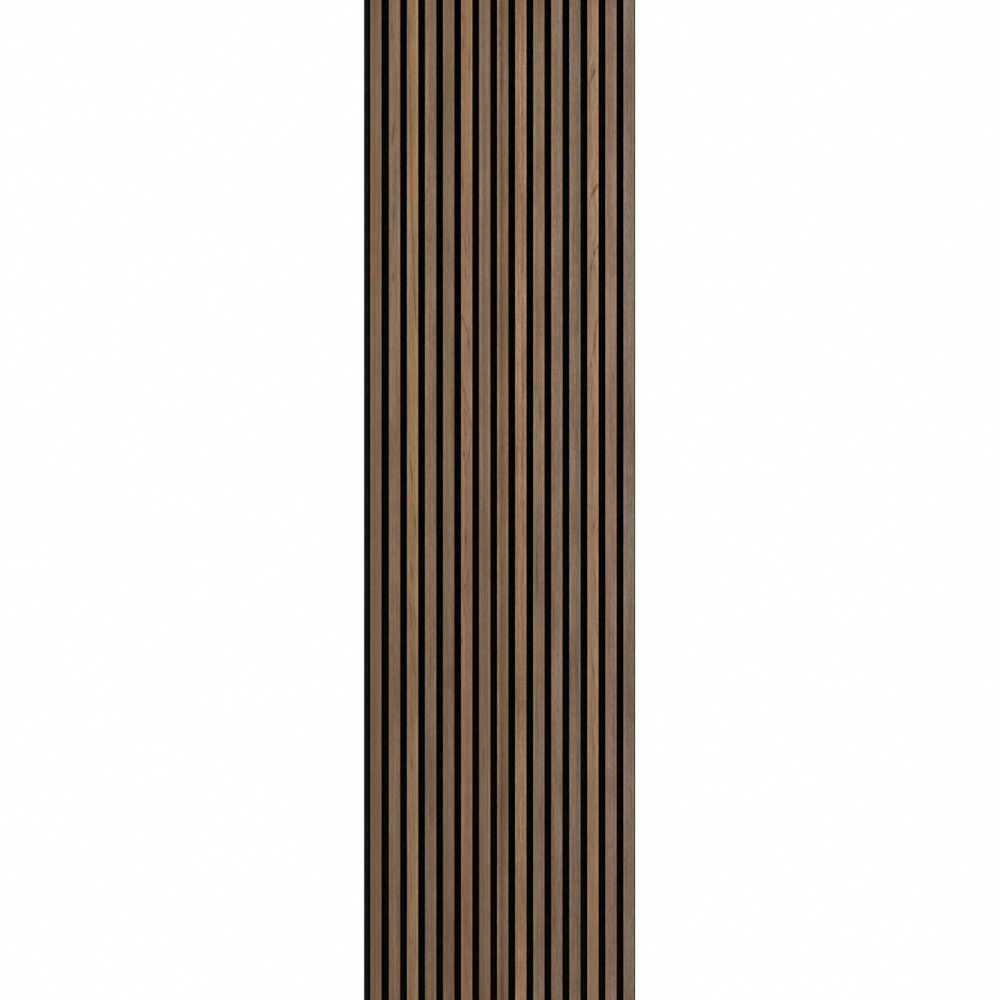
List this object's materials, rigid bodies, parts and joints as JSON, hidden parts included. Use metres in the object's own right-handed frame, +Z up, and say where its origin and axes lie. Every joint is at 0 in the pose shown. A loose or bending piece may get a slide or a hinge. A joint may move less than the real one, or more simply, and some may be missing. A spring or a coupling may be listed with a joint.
{
  "type": "acoustic slat wall panel",
  "caption": "Tall flat wall panel of veneered fibreboard slats set side by side on a felt board, which damps sound; a bare felt strip at one edge spaces it from the next panel.",
  "frame": {"origin": "centre of the back face, which lies on the wall", "axes": "+Z up along the slats, +X to the right seen from the room, +Y into the wall, so the slats face -Y"},
  "size_m": [0.6, 0.021, 2.4],
  "materials": {
    "felt": "pressed needle felt, matt black",
    "core": "fibreboard dyed through, matt black",
    "veneer_brown": "sliced veneer, matt lacquer",
    "veneer_dark_brown": "sliced veneer, matt lacquer",
    "veneer_honey": "sliced veneer, matt lacquer",
    "veneer_grey_brown": "sliced veneer, matt lacquer",
    "staple": "galvanised wire"
  },
  "bodies": {
    "root": {"felt_backing": "felt", "slat_core_01": "core", "slat_core_02": "core", "slat_core_03": "core", "slat_core_04": "core", "slat_core_05": "core", "slat_core_06": "core", "slat_core_07": "core", "slat_core_08": "core", "slat_core_09": "core", "slat_core_10": "core", "slat_core_11": "core", "slat_core_12": "core", "slat_core_13": "core", "slat_core_14": "core", "slat_core_15": "core", "slat_veneer_01": "veneer_dark_brown", "slat_veneer_02": "veneer_brown", "slat_veneer_03": "veneer_honey", "slat_veneer_04": "veneer_brown", "slat_veneer_05": "veneer_grey_brown", "slat_veneer_06": "veneer_honey", "slat_veneer_07": "veneer_brown", "slat_veneer_08": "veneer_dark_brown", "slat_veneer_09": "veneer_honey", "slat_veneer_10": "veneer_brown", "slat_veneer_11": "veneer_brown", "slat_veneer_12": "veneer_grey_brown", "slat_veneer_13": "veneer_honey", "slat_veneer_14": "veneer_brown", "slat_veneer_15": "veneer_grey_brown", "staples": "staple"}
  },
  "joints": []
}
